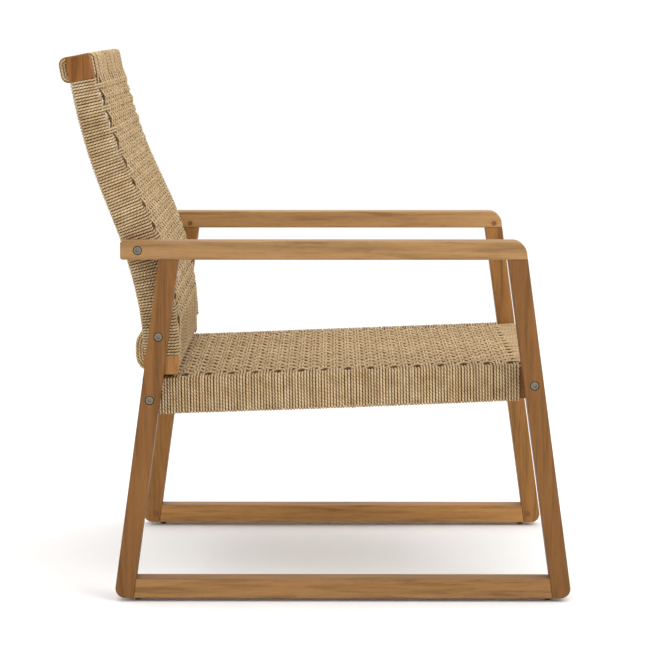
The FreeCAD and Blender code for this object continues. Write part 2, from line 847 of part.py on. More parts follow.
for side_name, side_sign in SIDES.items():
    arm_rail("arm_rail_" + side_name, side_sign)
    leg("front_leg_" + side_name, side_sign, FRONT, [FRONT_BOLT])
    leg("rear_leg_" + side_name, side_sign, REAR, [REAR_UPPER_BOLT, REAR_LOWER_BOLT])
    bottom_rail("bottom_rail_" + side_name, side_sign)
    seat_side_rail("seat_side_rail_" + side_name, side_sign)
    back_post("back_post_" + side_name, side_sign)
    seat_side_wrap("seat_side_wrap_" + side_name, side_sign)
    post_wrap("back_post_wrap_" + side_name, side_sign)

joint_pegs()
frame_bolts()
threaded_inserts()
glides()
seat_cross_rail("seat_front_rail", size("seat_front_y"), "seat_front_depth")
seat_cross_rail("seat_rear_rail", BARE_REAR_Y, "seat_rear_depth")
back_top_rail()
back_bottom_rail()
cross_wrap("seat_front_wrap", size("seat_front_y"), "seat_front_depth")
cross_wrap("seat_rear_wrap", BARE_REAR_Y, "seat_rear_depth")
top_box = [size("top_rail_" + word) for word in ("y", "z", "depth", "high", "lean")]
low_box = [size("low_rail_" + word) for word in ("y", "z", "depth", "high")] + [0.0]
back_rail_wrap("back_top_wrap", top_box, (size("edge_ease"), size("top_rail_round")),
               (size("front_wrap_round"), size("top_wrap_round")))
back_rail_wrap("back_bottom_wrap", low_box, (size("low_front_round"), size("low_rail_round")),
               (size("low_front_wrap_round"), size("low_wrap_round")))
seat_weave()
back_weave()

doc.recompute()
faults = []
for thing in doc.Objects:
    if "Invalid" in thing.State or "Error" in thing.State:
        faults.append(thing.Label)
bodies = [thing for thing in doc.Objects if thing.TypeId == "PartDesign::Body"]
for body in bodies:
    if body.Shape.isNull() or not body.Shape.isValid():
        faults.append(body.Label + " shape")
if faults:
    raise ValueError("not sound: " + ", ".join(faults))

os.makedirs("parts", exist_ok=True)
total = FreeCAD.BoundBox()
for body in bodies:
    body.Shape.exportStep("parts/" + body.Label + ".step")
    total.add(body.Shape.BoundBox)
    print("%-24s solids %d volume %.0f" % (body.Label, len(body.Shape.Solids), body.Shape.Volume))
print("nodes %d" % len(bodies))
print("X %.2f..%.2f Y %.2f..%.2f Z %.2f..%.2f" % (
    total.XMin, total.XMax, total.YMin, total.YMax, total.ZMin, total.ZMax))
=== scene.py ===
import math
import random

import bpy
import numpy as np
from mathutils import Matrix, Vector


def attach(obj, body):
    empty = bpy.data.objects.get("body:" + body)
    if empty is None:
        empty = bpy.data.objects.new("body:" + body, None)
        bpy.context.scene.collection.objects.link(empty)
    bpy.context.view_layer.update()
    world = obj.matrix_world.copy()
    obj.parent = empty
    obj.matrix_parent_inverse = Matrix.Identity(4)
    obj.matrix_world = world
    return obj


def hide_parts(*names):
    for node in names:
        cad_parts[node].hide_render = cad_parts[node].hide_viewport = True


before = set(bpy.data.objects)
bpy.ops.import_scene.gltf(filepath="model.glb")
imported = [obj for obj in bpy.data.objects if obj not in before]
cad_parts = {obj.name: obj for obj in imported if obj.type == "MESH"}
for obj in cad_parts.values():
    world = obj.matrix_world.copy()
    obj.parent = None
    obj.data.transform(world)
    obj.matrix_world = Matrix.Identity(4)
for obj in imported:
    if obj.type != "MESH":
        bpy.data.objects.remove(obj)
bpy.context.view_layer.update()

# A wooden armchair with a cord seat and back. Wood, bolts, pegs and glides are the frame's own
# nodes, dressed in materials. The cord is laid here, one cord at a time.
# Sizes are millimetres in frame coordinates, where Y = 0 is the middle of the side frames.
MM = 0.001

# ---------------------------------------------------------------- camera
PICTURE_WIDE = 645.0
CAMERA_FOCAL_PX = 2523.0      # focal length, for a picture that wide
SENSOR_WIDE = 36.0
CAMERA_AWAY = 3890.0          # from the near side frame
CAMERA_Y = 14.9
CAMERA_Z = 915.7
CAMERA_PITCH = 0.1208         # radians
CAMERA_TURN = -0.0044
CAMERA_SEES = 50.0            # metres

# ---------------------------------------------------------------- wood under the cord
FRAME_SHIFT = 42.6            # the side frames' middle lies this far in front of the origin
HALF_WIDTH = 320.0
CORD_THICK = 4.6
CORE_THICK = 27.5
WRAP_FACE = 281.7             # outer face of the cord on the posts and seat rails
CORE_OUT = WRAP_FACE - CORD_THICK     # outer face of the wood, and its inner face
CORE_IN = CORE_OUT - CORE_THICK
BLOCK_IN = CORE_IN - CORD_THICK   # inner face of the bare blocks

SEAT_MIDDLE_Z = 332.4
SEAT_SLOPE = 0.0384
SEAT_HALF_HIGH = 25.0
SEAT_FRONT = (-306.0, -280.0)     # front rail, front and rear face
SEAT_REAR = (290.0, 314.0)        # rear rail

# a RAIL is the middle of a back rail in Y and Z; a HALF is half its depth, half its height,
# and the rounding of the wood in front and at the rear
TOP_RAIL = (415.5, 835.0)
TOP_HALF = (22.0, 13.5, 2.0, 5.0)
TOP_RAIL_LEAN = math.radians(11.0)
LOW_RAIL = (293.5, 390.0)
LOW_HALF = (31.0, 30.5, 10.0, 22.0)

POST_LONG = 518               # along the post, as are the three places below
POST_BLOCK_START = 480
POST_WRAP_START = 30
POST_TAPER_START = 180
POST_FOOT = (284.0, 356.0)
POST_LEAN_LOW = math.radians(1.0)
POST_LEAN_HIGH = math.radians(23.0)
POST_STRAIGHT_LOW = 20
POST_STRAIGHT_HIGH = 50
POST_BEND_LOW = 600.0
POST_BEND_HIGH = 900.0
POST_WIDTH_LOW = 57.5
POST_WIDTH_HIGH = 38.0

# ---------------------------------------------------------------- cord
CORD_RADIUS = 2.2
CORD_SIDES = 8                # corners of a cord's cross section
BEND = 4.2                    # how tightly cord goes round an edge, at its middle
BEND_CUT = BEND * (1 - math.cos(math.pi / 4))
TIGHTEST_BEND = 2.0
ARC_STEPS = 4
CORNER_STEPS = 3
SHORTEST_STEP = 1e-4          # points closer together than this are one point
CORD_START_REACH = 60         # the twist of each cord starts anywhere within this length
RING_GUIDE = (0.31, 0.52, 0.8)    # a direction in which no cord runs

# directions in which cords lie side by side, against which the painted shade between neighbouring cords is
# measured
ACROSS = (1.0, 0.0, 0.0)
ALONG_SEAT = (0.0, 1.0, 0.0)
UP_BACK = (0.0, 0.21, 0.978)
NO_NEIGHBOUR = (0.0, 0.0, 0.0)

# ---------------------------------------------------------------- turns round the rails and posts
TURN_PITCH = 4.59             # spacing of the turns of cord
TURNS_PER_PAIR = 4            # a pair crosses the panel once in so many turns
PAIR_PHASE = 2                # which of those turns is the first of the pair
TURN_TILT = 2.2               # how far a side turn climbs along the rail on its way round
TILT_SHARES = (0.2, 0.4, 0.8)     # how much of that it has climbed at each corner
SEAT_TURN_START = 5.0         # a side turn starts this far below the top
SEAT_TURNS = (SEAT_FRONT[1] + 2.6, SEAT_REAR[0] - 2.0)
SEAT_WOVEN = (-272.0, 282.0)  # pairs cross between these
SEAT_SAG = 1.3                # the side turns hang a little lower half way along
SEAT_SAG_MIDDLE = 5.0
SEAT_SAG_LONG = 570.0
TUCK_BEND = 4.0               # a plain turn ends by going down inside the rail
TUCK_LONG = 12.0
TUCK_DRIFT = 0.5
EDGE_TURN_X = 244.0           # the last turns of cord on the seat's cross rails
WRAP_RAKE = -0.02             # turns on a post lie almost square to it
POST_TURN_START = 8.0
POST_TURN_END = 10.0
POST_TURN_DRIFT = 0.6
BACK_TURNS = (POST_WRAP_START + 2.6, POST_BLOCK_START - 1.5)
BACK_WOVEN = (80.0, 478.0)
RAIL_END_X = BLOCK_IN - CORD_THICK + CORD_RADIUS    # the flat turns on the ends of the back rails

# ---------------------------------------------------------------- strands and weave
STRAND_HALF = 241.8           # half the width of the seat panel
BACK_STRAND_HALF = 240.4
GROUPS = 26
GROUP = 4                     # strands that go over or under together
GROUP_GAP = 0.6               # extra space between groups
HALF_LIFT = 2.25              # strands and pairs pass this far above and below the panel's middle
FLOAT_HALF = 2.6              # half of the level part of a strand where it passes a pair
CHANGE_OVER = 3.5             # how far from the edge of a group a pair is level again
WEAVE_STEPS = 2               # points that smoothing makes of each point of the weave
STRAND_TAIL = 14.0            # a strand ends this far below the top, inside a rail
SEAT_PANEL_LIFT = SEAT_HALF_HIGH + CORD_RADIUS - 1.2
BULGE_MIDDLE = 430.0          # the upper part of the back stands a little in front of the posts
BULGE_REACH = 150.0
BULGE_HIGH = 3.0
TOP_PROUD = 1.8               # most groups stand this far clear of the top rail
CLOSE_GROUP_EVERY = 4         # one group in so many lies close on it
CLOSE_GROUP_PHASE = 2

# how unevenly cords lie, either way from their proper place
SEAT_TURN_WOBBLE = 0.3
BACK_TURN_WOBBLE = 0.25
TILT_WOBBLE = 0.5
PAIR_WOBBLE = 0.35
PAIR_LIFT_WOBBLE = 0.2
SEAT_STRAND_WOBBLE = 0.5
BACK_STRAND_WOBBLE = 0.45
STRAND_LIFT_WOBBLE = 0.35
RAIL_UNEVEN = 1.3             # strands pass over the rails up to this much higher

random.seed(11)


def wobble(amount):
    return random.uniform(-amount, amount)


# ---------------------------------------------------------------- camera
def add_camera():
    data = bpy.data.cameras.new("camera")
    data.sensor_width = SENSOR_WIDE
    data.lens = CAMERA_FOCAL_PX / PICTURE_WIDE * SENSOR_WIDE
    data.dof.use_dof = False
    data.clip_end = CAMERA_SEES
    camera = bpy.data.objects.new("camera", data)
    bpy.context.scene.collection.objects.link(camera)
    camera.location = (-(HALF_WIDTH + CAMERA_AWAY) * MM, (CAMERA_Y - FRAME_SHIFT) * MM, CAMERA_Z * MM)
    # looks along +X, dipped by the pitch and turned a little to the rear
    camera.rotation_mode = "XYZ"
    camera.rotation_euler = (math.radians(90.0) - CAMERA_PITCH, 0.0, math.radians(-90.0) - CAMERA_TURN)
    bpy.context.scene.camera = camera


# ---------------------------------------------------------------- cord geometry
def smooth_path(points):
    # Catmull-Rom through the points
    pts = np.asarray(points, float)
    ext = np.vstack([2 * pts[0] - pts[1], pts, 2 * pts[-1] - pts[-2]])
    p0, p1, p2, p3 = ext[:-3], ext[1:-2], ext[2:-1], ext[3:]
    out = []
    for step in range(WEAVE_STEPS):
        t = step / WEAVE_STEPS
        out.append(0.5 * (2 * p1 + (p2 - p0) * t + (2 * p0 - 5 * p1 + 4 * p2 - p3) * t ** 2
                          + (3 * p1 - p0 - 3 * p2 + p3) * t ** 3))
    mixed = np.stack(out, axis=1).reshape(-1, 3)
    return np.vstack([mixed, pts[-1]])


def round_corner(corner, from_dir, to_dir):
    # points of an arc that turns from from_dir to to_dir round a corner
    corner = np.asarray(corner, float)
    arriving = np.asarray(from_dir, float)
    leaving = np.asarray(to_dir, float)
    start = corner - arriving * BEND
    out = []
    for step in range(CORNER_STEPS + 1):
        angle = step / CORNER_STEPS * math.pi / 2
        out.append(start + arriving * BEND * math.sin(angle) + leaving * BEND * (1 - math.cos(angle)))
    return out


def rings_along(path):
    # directions from the middle of a cord to its surface, without twisting along the way
    tangent = np.gradient(path, axis=0)
    tangent /= np.linalg.norm(tangent, axis=1)[:, None]
    normal = np.zeros_like(path)
    side = np.cross(tangent[0], np.array(RING_GUIDE))
    side /= np.linalg.norm(side)
    normal[0] = side
    for i in range(1, len(path)):
        side = side - tangent[i] * side.dot(tangent[i])
        side /= np.linalg.norm(side)
        normal[i] = side
    binormal = np.cross(tangent, normal)
    angles = np.arange(CORD_SIDES) * 2 * math.pi / CORD_SIDES
    return (np.cos(angles)[None, :, None] * normal[:, None, :]
            + np.sin(angles)[None, :, None] * binormal[:, None, :])


class Bundle:
    """Collects many cords into one mesh piece, with their length and angle as a UV map."""

    def __init__(self, beside):
        # beside: the direction in which the cords lie next to each other, which places the painted shade
        # between them
        self.beside = np.asarray(beside, float)
        self.points = []
        self.faces = []
        self.uvs = []
        self.tints = []
        self.shades_between_cords = []
        self.count = 0

    def add(self, path):
        path = np.asarray(path, float)
        keep = np.ones(len(path), bool)
        keep[1:] = np.linalg.norm(np.diff(path, axis=0), axis=1) > SHORTEST_STEP
        path = path[keep]
        rings = rings_along(path)
        self.points.append((path[:, None, :] + CORD_RADIUS * rings).reshape(-1, 3))
        length = np.concatenate([[0], np.cumsum(np.linalg.norm(np.diff(path, axis=0), axis=1))])
        length += random.uniform(0, CORD_START_REACH)
        self.add_faces(length)
        self.tints.append(np.full(len(path) * CORD_SIDES, random.random()))
        # how squarely each point faces the neighbouring cords: the mask of the painted shade between cords
        self.shades_between_cords.append(np.abs(rings @ self.beside).ravel())

    def add_faces(self, length):
        n = len(length)
        s = CORD_SIDES
        start = self.count
        self.count += n * s
        i = np.arange(n - 1)[:, None]
        j = np.arange(s)[None, :]
        following = (j + 1) % s
        quads = np.stack([start + i * s + j, start + i * s + following,
                          start + (i + 1) * s + following, start + (i + 1) * s + j], axis=-1)
        self.faces.append(quads.reshape(-1, 4))
        u0 = np.broadcast_to(length[:-1][:, None], (n - 1, s))
        u1 = np.broadcast_to(length[1:][:, None], (n - 1, s))
        v0 = np.broadcast_to(j / s, (n - 1, s))
        v1 = np.broadcast_to((j + 1) / s, (n - 1, s))
        corners = [np.stack(pair, -1) for pair in ((u0, v0), (u0, v1), (u1, v1), (u1, v0))]
        self.uvs.append(np.stack(corners, axis=2).reshape(-1, 2))

    def build(self, name, material, node_names):
        verts = np.vstack(self.points) * MM
        verts[:, 1] -= FRAME_SHIFT * MM
        faces = np.vstack(self.faces)
        mesh = bpy.data.meshes.new(name)
        mesh.vertices.add(len(verts))
        mesh.vertices.foreach_set("co", verts.ravel())
        mesh.loops.add(faces.size)
        mesh.loops.foreach_set("vertex_index", faces.ravel())
        mesh.polygons.add(len(faces))
        mesh.polygons.foreach_set("loop_start", np.arange(0, faces.size, 4))
        mesh.polygons.foreach_set("loop_total", np.full(len(faces), 4))
        mesh.update()
        mesh.validate()
        uv_layer = mesh.uv_layers.new(name="along")
        uv_layer.data.foreach_set("uv", np.vstack(self.uvs).ravel())
        tint = mesh.attributes.new("strand_tint", "FLOAT", "POINT")
        tint.data.foreach_set("value", np.concatenate(self.tints))
        # the mask of the painted shade between cords, read by the cord material
        shade_between_cords = mesh.attributes.new("shade_between_cords", "FLOAT", "POINT")
        shade_between_cords.data.foreach_set("value", np.concatenate(self.shades_between_cords))
        mesh.polygons.foreach_set("use_smooth", np.ones(len(faces), bool))
        mesh.materials.append(material)
        piece = bpy.data.objects.new(name, mesh)
        bpy.context.scene.collection.objects.link(piece)
        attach(piece, "root")
        if node_names:
            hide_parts(*node_names)


# ---------------------------------------------------------------- where the cords lie
def split_turns(limits, woven):
    # places of the plain turns and of the first turn of each pair that crosses the panel
    count = int((limits[1] - limits[0]) / TURN_PITCH) + 1
    firsts = []
    plain = []
    for k in range(count):
        place = limits[0] + TURN_PITCH * k
        phase = (k - PAIR_PHASE) % TURNS_PER_PAIR
        middle = place + TURN_PITCH * (0.5 if phase == 0 else -0.5)
        if phase < 2 and woven[0] <= middle <= woven[1]:
            if phase == 0:
                firsts.append(place)
        else:
            plain.append(place)
    return plain, firsts


def pair_middles(firsts):
    return [first + TURN_PITCH / 2 for first in firsts]


def strand_rows(half):
    # the strands lie in groups with a little space between them
    width = 2 * half / GROUPS
    inner = (width - GROUP_GAP) / GROUP
    rows = []
    for group in range(GROUPS):
        low = -half + group * width + GROUP_GAP / 2
        for k in range(GROUP):
            rows.append((low + inner * (k + 0.5), group))
    return rows


def pair_crossing(parity, half):
    # heights of a crossing pair at each strand group: opposite to the strands
    pts = []
    width = 2 * half / GROUPS
    for g in range(GROUPS):
        low = -half + g * width
        up = HALF_LIFT if (g + parity) % 2 else -HALF_LIFT
        pts.append((low + CHANGE_OVER, up))
        pts.append((low + width - CHANGE_OVER, up))
    return pts


def strand_lift(group, index):
    return HALF_LIFT if (group + index) % 2 == 0 else -HALF_LIFT


# ---------------------------------------------------------------- seat
def seat_z(y):
    return SEAT_MIDDLE_Z - SEAT_SLOPE * y


def seat_spot(x, y, above):
    return np.array([x, y, seat_z(y) + above])


def side_turn(side, y, tilt):
    # one turn round a seat side rail, from its inner face down and round to the top's inner edge
    sag = SEAT_SAG * math.cos(math.pi * (y - SEAT_SAG_MIDDLE) / SEAT_SAG_LONG)
    zt = seat_z(y) + SEAT_HALF_HIGH + CORD_RADIUS
    zb = seat_z(y) - SEAT_HALF_HIGH - CORD_RADIUS - sag
    xi = CORE_IN - CORD_RADIUS
    xo = CORE_OUT + CORD_RADIUS
    out = [np.array([xi, y, zt - SEAT_TURN_START])]
    out += round_corner((xi, y + TILT_SHARES[0] * tilt, zb), (0, 0, -1), (1, 0, 0))
    out += round_corner((xo, y + TILT_SHARES[1] * tilt, zb), (1, 0, 0), (0, 0, 1))
    out += round_corner((xo, y + TILT_SHARES[2] * tilt, zt), (0, 0, 1), (-1, 0, 0))
    path = np.array(out)
    path[:, 0] *= side
    return path


def plain_side_turn(side, y):
    path = list(side_turn(side, y, TURN_TILT + wobble(TILT_WOBBLE)))
    end = path[-1]
    inner = side * (CORE_IN - CORD_RADIUS)
    path += [np.array([inner + side * TUCK_BEND, end[1], end[2]]),
             np.array([inner, end[1] + TUCK_DRIFT, end[2] - TUCK_BEND]),
             np.array([inner, end[1] + 2 * TUCK_DRIFT, end[2] - TUCK_LONG])]
    return np.array(path) + [0, wobble(SEAT_TURN_WOBBLE), wobble(SEAT_TURN_WOBBLE)]


def seat_crossing(index, y):
    # a turn that goes on from one side rail across the panel to the other
    left = side_turn(-1, y, TURN_TILT)
    right = side_turn(1, y, TURN_TILT)
    level = seat_z(y) + SEAT_PANEL_LIFT
    middle = []
    for x, up in pair_crossing(index, STRAND_HALF):
        place = y + TURN_TILT * TILT_SHARES[2] + wobble(PAIR_WOBBLE)
        middle.append(np.array([x, place, level + up + wobble(PAIR_LIFT_WOBBLE)]))
    core = smooth_path([left[-1]] + middle + [right[-1]])
    return np.vstack([left[:-1], core, right[::-1][1:]])


def seat_edge_turn(x, front, rear):
    # one closed turn round a cross rail of the seat, beside the panel
    reach = SEAT_HALF_HIGH + CORD_RADIUS
    front -= CORD_RADIUS
    rear += CORD_RADIUS
    path = [seat_spot(x, rear, reach - BEND)]
    path += round_corner(seat_spot(x, rear, -reach), (0, 0, -1), (0, -1, 0))
    path += round_corner(seat_spot(x, front, -reach), (0, -1, 0), (0, 0, 1))
    path += round_corner(seat_spot(x, front, reach), (0, 0, 1), (0, 1, 0))
    path += round_corner(seat_spot(x, rear, reach), (0, 1, 0), (0, 0, -1))
    return np.array(path)


def seat_strand(x, group, pairs):
    # round the front rail, over and under the pairs, and round the rear rail
    top = SEAT_HALF_HIGH + CORD_RADIUS + random.uniform(0.0, RAIL_UNEVEN)
    low = -SEAT_HALF_HIGH - CORD_RADIUS
    front_face = SEAT_FRONT[0] - CORD_RADIUS
    front_inner = SEAT_FRONT[1] + CORD_RADIUS
    rear_inner = SEAT_REAR[0] - CORD_RADIUS
    rear_face = SEAT_REAR[1] + CORD_RADIUS
    path = [seat_spot(x, front_inner, top - STRAND_TAIL)]
    path += round_corner(seat_spot(x, front_inner, low), (0, 0, -1), (0, -1, 0))
    path += round_corner(seat_spot(x, front_face, low), (0, -1, 0), (0, 0, 1))
    path += round_corner(seat_spot(x, front_face, top), (0, 0, 1), (0, 1, 0))
    path += [seat_spot(x, SEAT_FRONT[1], top)]
    woven = []
    for index, pair in enumerate(pairs):
        lift = SEAT_PANEL_LIFT + strand_lift(group, index)
        for end in (-FLOAT_HALF, FLOAT_HALF):
            woven.append(seat_spot(x + wobble(SEAT_STRAND_WOBBLE), pair + end + wobble(SEAT_STRAND_WOBBLE),
                                   lift + wobble(STRAND_LIFT_WOBBLE)))
    path += list(smooth_path([path[-1]] + woven + [seat_spot(x, SEAT_REAR[0], top)]))[1:]
    path += round_corner(seat_spot(x, rear_face, top), (0, 1, 0), (0, 0, -1))
    path += round_corner(seat_spot(x, rear_face, low), (0, 0, -1), (0, -1, 0))
    path += round_corner(seat_spot(x, rear_inner, low), (0, -1, 0), (0, 0, 1))
    path += [seat_spot(x, rear_inner, top - STRAND_TAIL)]
    return np.array(path)


def build_seat(material):
    plain, firsts = split_turns(SEAT_TURNS, SEAT_WOVEN)
    turns = Bundle(ALONG_SEAT)
    for side in (1, -1):
        for y in plain:
            turns.add(plain_side_turn(side, y))
    turns.build("seat_side_turns", material, ["seat_side_wrap_left", "seat_side_wrap_right"])

    crossing = Bundle(ALONG_SEAT)
    for index, first in enumerate(firsts):
        for y in (first, first + TURN_PITCH):
            crossing.add(seat_crossing(index, y))
    crossing.build("seat_pairs", material, [])

    pairs = pair_middles(firsts)
    strands = [Bundle(ACROSS), Bundle(ACROSS)]
    for x, group in strand_rows(STRAND_HALF):
        strands[0 if x < 0 else 1].add(seat_strand(x, group, pairs))
    for bundle, side in zip(strands, (-1, 1)):
        for front, rear in (SEAT_FRONT, SEAT_REAR):
            bundle.add(seat_edge_turn(side * EDGE_TURN_X, front, rear))
    strands[0].build("seat_strands_right", material, ["seat_weave", "seat_front_wrap"])
    strands[1].build("seat_strands_left", material, ["seat_rear_wrap"])


# ---------------------------------------------------------------- back posts
def post_stations():
    # centre line of a post: position and lean for every millimetre of its length
    y, z, lean = POST_FOOT[0], POST_FOOT[1], POST_LEAN_LOW
    bend_end = POST_STRAIGHT_LOW + POST_BEND_LOW * (POST_LEAN_HIGH - POST_LEAN_LOW)
    stations = [(y, z, lean)]
    for along in range(1, POST_LONG + 1):
        if POST_STRAIGHT_LOW <= along < bend_end:
            lean += 1 / POST_BEND_LOW
        elif along >= bend_end + POST_STRAIGHT_HIGH:
            lean -= 1 / POST_BEND_HIGH
        y += math.sin(lean)
        z += math.cos(lean)
        stations.append((y, z, lean))
    return np.array(stations)


STATIONS = post_stations()


def station(along):
    places = np.arange(len(STATIONS))
    return [float(np.interp(along, places, STATIONS[:, column])) for column in range(3)]


def post_width(along):
    taper = max(0.0, (along - POST_TAPER_START) / (POST_LONG - POST_TAPER_START))
    return POST_WIDTH_LOW + taper * (POST_WIDTH_HIGH - POST_WIDTH_LOW)


def post_point(x, along, across, drift=0.0):
    # across: from the centre line towards the rear; drift: further along the post
    y, z, lean = station(along)
    climb = WRAP_RAKE * (-across) + drift
    return np.array([x, y + across * math.cos(lean) + climb * math.sin(lean),
                     z - across * math.sin(lean) + climb * math.cos(lean)])


def front_level(along):
    # the middle of the back panel, from the centre line of the posts
    bulge = 0.0
    if abs(along - BULGE_MIDDLE) < BULGE_REACH:
        bulge = BULGE_HIGH * math.cos(math.pi / 2 * (along - BULGE_MIDDLE) / BULGE_REACH) ** 2
    return -post_width(along) / 2 + CORD_RADIUS - bulge


def post_turn(side, along):
    # one turn round a post: from the inner face round the rear, outside and front
    half = post_width(along) / 2 - CORD_RADIUS
    xi = CORE_IN - CORD_RADIUS
    xo = CORE_OUT + CORD_RADIUS
    outline = [(xi, -half + POST_TURN_START), (xi, half - BEND), (xi + BEND_CUT, half - BEND_CUT),
               (xi + BEND, half), (xo - BEND, half), (xo - BEND_CUT, half - BEND_CUT),
               (xo, half - BEND), (xo, -half + BEND), (xo - BEND_CUT, -half + BEND_CUT),
               (xo - BEND, -half)]
    return np.array([post_point(side * x, along, across) for x, across in outline])


def plain_post_turn(side, along):
    path = list(post_turn(side, along))
    half = post_width(along) / 2 - CORD_RADIUS
    xi = CORE_IN - CORD_RADIUS
    outline = [(xi + BEND, -half), (xi + BEND_CUT, -half + BEND_CUT),
               (xi, -half + BEND), (xi, -half + POST_TURN_END)]
    for x, across in outline:
        path.append(post_point(side * x, along, across, POST_TURN_DRIFT))
    return np.array(path) + [0, wobble(BACK_TURN_WOBBLE), wobble(BACK_TURN_WOBBLE)]


def panel_point(x, along, forward, drift=0.0):
    # a point of the back panel, so far in front of its middle
    level = front_level(along)
    y, z, lean = station(along)
    across = level - forward
    climb = WRAP_RAKE * (-level) + drift
    return np.array([x, y + across * math.cos(lean) + climb * math.sin(lean),
                     z - across * math.sin(lean) + climb * math.cos(lean)])


def back_crossing(index, along):
    # a turn that goes on from one post across the panel to the other
    left = post_turn(-1, along)
    right = post_turn(1, along)
    middle = []
    for x, up in pair_crossing(index, BACK_STRAND_HALF):
        forward = up - wobble(PAIR_LIFT_WOBBLE)
        middle.append(panel_point(x, along, forward, wobble(PAIR_WOBBLE)))
    core = smooth_path([left[-1]] + middle + [right[-1]])
    return np.vstack([left[:-1], core, right[::-1][1:]])


# ---------------------------------------------------------------- back rails
def top_spot(x, across, up):
    lean = TOP_RAIL_LEAN
    return np.array([x, TOP_RAIL[0] + across * math.cos(lean) + up * math.sin(lean),
                     TOP_RAIL[1] - across * math.sin(lean) + up * math.cos(lean)])


def low_spot(x, across, up):
    return np.array([x, LOW_RAIL[0] + across, LOW_RAIL[1] + up])


def rail_arc(spot, x, half, inset, start, end):
    # the path of a cord round the rounded corners of a rail, between two angles in degrees;
    # 0 points to the rear, 90 up and 180 to the front
    deep = half[0] + CORD_RADIUS - inset
    high = half[1] + CORD_RADIUS - inset
    out = []
    for corner in range(start // 90, end // 90):
        middle = math.radians(90 * corner + 45)
        rounding = half[2] if math.cos(middle) < 0 else half[3]
        bend = min(max(TIGHTEST_BEND, rounding + CORD_RADIUS - inset), deep, high)
        centre_across = math.copysign(deep - bend, math.cos(middle))
        centre_up = math.copysign(high - bend, math.sin(middle))
        for step in range(ARC_STEPS + 1):
            angle = math.radians(90 * (corner + step / ARC_STEPS))
            out.append(spot(x, centre_across + bend * math.cos(angle), centre_up + bend * math.sin(angle)))
    return out


def rail_end_turns(bundle, side, spot, half):
    # flat turns that cover the end of a rail, each inside the one before
    inset = 0.0
    while inset < half[1]:
        path = rail_arc(spot, side * RAIL_END_X, half, inset, 180, 540)
        bundle.add(np.array(path + [path[0]]))
        inset += 2 * CORD_RADIUS


def back_strand(x, group, pairs):
    # up from under the top rail, round its rear, down the panel and round the lower rail
    is_close = group % CLOSE_GROUP_EVERY == CLOSE_GROUP_PHASE
    inset = (0.0 if is_close else -TOP_PROUD) - random.uniform(0.0, RAIL_UNEVEN)
    path = rail_arc(top_spot, x, TOP_HALF, inset, 270, 540)
    path.append(top_spot(x, -TOP_HALF[0] - CORD_RADIUS + inset, -TOP_HALF[1]))
    woven = []
    for index, pair in reversed(list(enumerate(pairs))):
        for end in (FLOAT_HALF, -FLOAT_HALF):
            place = x + wobble(BACK_STRAND_WOBBLE)
            forward = strand_lift(group, index) - wobble(STRAND_LIFT_WOBBLE)
            woven.append(panel_point(place, pair + end, forward))
    round_low = rail_arc(low_spot, x, LOW_HALF, 0.0, 180, 450)
    path += list(smooth_path([path[-1]] + woven + [round_low[0]]))[1:-1]
    return np.array(path + round_low)


def build_back(material):
    plain, firsts = split_turns(BACK_TURNS, BACK_WOVEN)
    turns = Bundle(UP_BACK)
    for side in (1, -1):
        for along in plain:
            turns.add(plain_post_turn(side, along))
    turns.build("back_post_turns", material, ["back_post_wrap_left", "back_post_wrap_right"])

    crossing = Bundle(UP_BACK)
    for index, first in enumerate(firsts):
        for along in (first, first + TURN_PITCH):
            crossing.add(back_crossing(index, along))
    crossing.build("back_pairs", material, [])

    pairs = pair_middles(firsts)
    strands = [Bundle(ACROSS), Bundle(ACROSS)]
    for x, group in strand_rows(BACK_STRAND_HALF):
        strands[0 if x < 0 else 1].add(back_strand(x, group, pairs))
    ends = Bundle(NO_NEIGHBOUR)
    for side in (-1, 1):
        rail_end_turns(ends, side, top_spot, TOP_HALF)
        rail_end_turns(ends, side, low_spot, LOW_HALF)
    ends.build("back_rail_ends", material, [])
    strands[0].build("back_strands_right", material, ["back_weave", "back_top_wrap"])
    strands[1].build("back_strands_left", material, ["back_bottom_wrap"])


# ---------------------------------------------------------------- material helpers
def new_material(name):
    material = bpy.data.materials.new(name)
    material.use_nodes = True
    tree = material.node_tree
    tree.nodes.clear()
    output = tree.nodes.new("ShaderNodeOutputMaterial")
    shader = tree.nodes.new("ShaderNodeBsdfPrincipled")
    tree.links.new(shader.outputs["BSDF"], output.inputs["Surface"])
    return material, tree, shader


def node(tree, kind, **settings):
    made = tree.nodes.new(kind)
    for key, value in settings.items():
        if key in made.inputs:
            made.inputs[key].default_value = value
        else:
            setattr(made, key, value)
    return made


def srgb(r, g, b):
    def one(c):
        c /= 255.0
        return c / 12.92 if c <= 0.04045 else ((c + 0.055) / 1.055) ** 2.4
    return (one(r), one(g), one(b), 1.0)


def grey(value):
    return (value, value, value, 1.0)


def ramp(tree, source, stops):
    made = tree.nodes.new("ShaderNodeValToRGB")
    elements = made.color_ramp.elements
    while len(elements) < len(stops):
        elements.new(0.5)
    for element, (place, colour) in zip(elements, stops):
        element.position = place
        element.color = colour
    tree.links.new(source, made.inputs["Fac"])
    return made.outputs["Color"]


def arithmetic(tree, operation, first, second=None):
    # second: a number or a socket
    made = node(tree, "ShaderNodeMath", operation=operation)
    tree.links.new(first, made.inputs[0])
    if isinstance(second, float):
        made.inputs[1].default_value = second
    elif second is not None:
        tree.links.new(second, made.inputs[1])
    return made.outputs[0]


def multiply(tree, first, second, amount):
    # one colour darkened by another, by part or all of it
    made = node(tree, "ShaderNodeMix", data_type="RGBA", blend_type="MULTIPLY")
    made.inputs["Factor"].default_value = amount
    tree.links.new(first, made.inputs[6])
    tree.links.new(second, made.inputs[7])
    return made.outputs[2]


def noise(tree, place, **settings):
    made = node(tree, "ShaderNodeTexNoise", **settings)
    tree.links.new(place, made.inputs["Vector"])
    return made.outputs["Fac"]


def split_xyz(tree, source):
    made = node(tree, "ShaderNodeSeparateXYZ")
    tree.links.new(source, made.inputs[0])
    return made.outputs


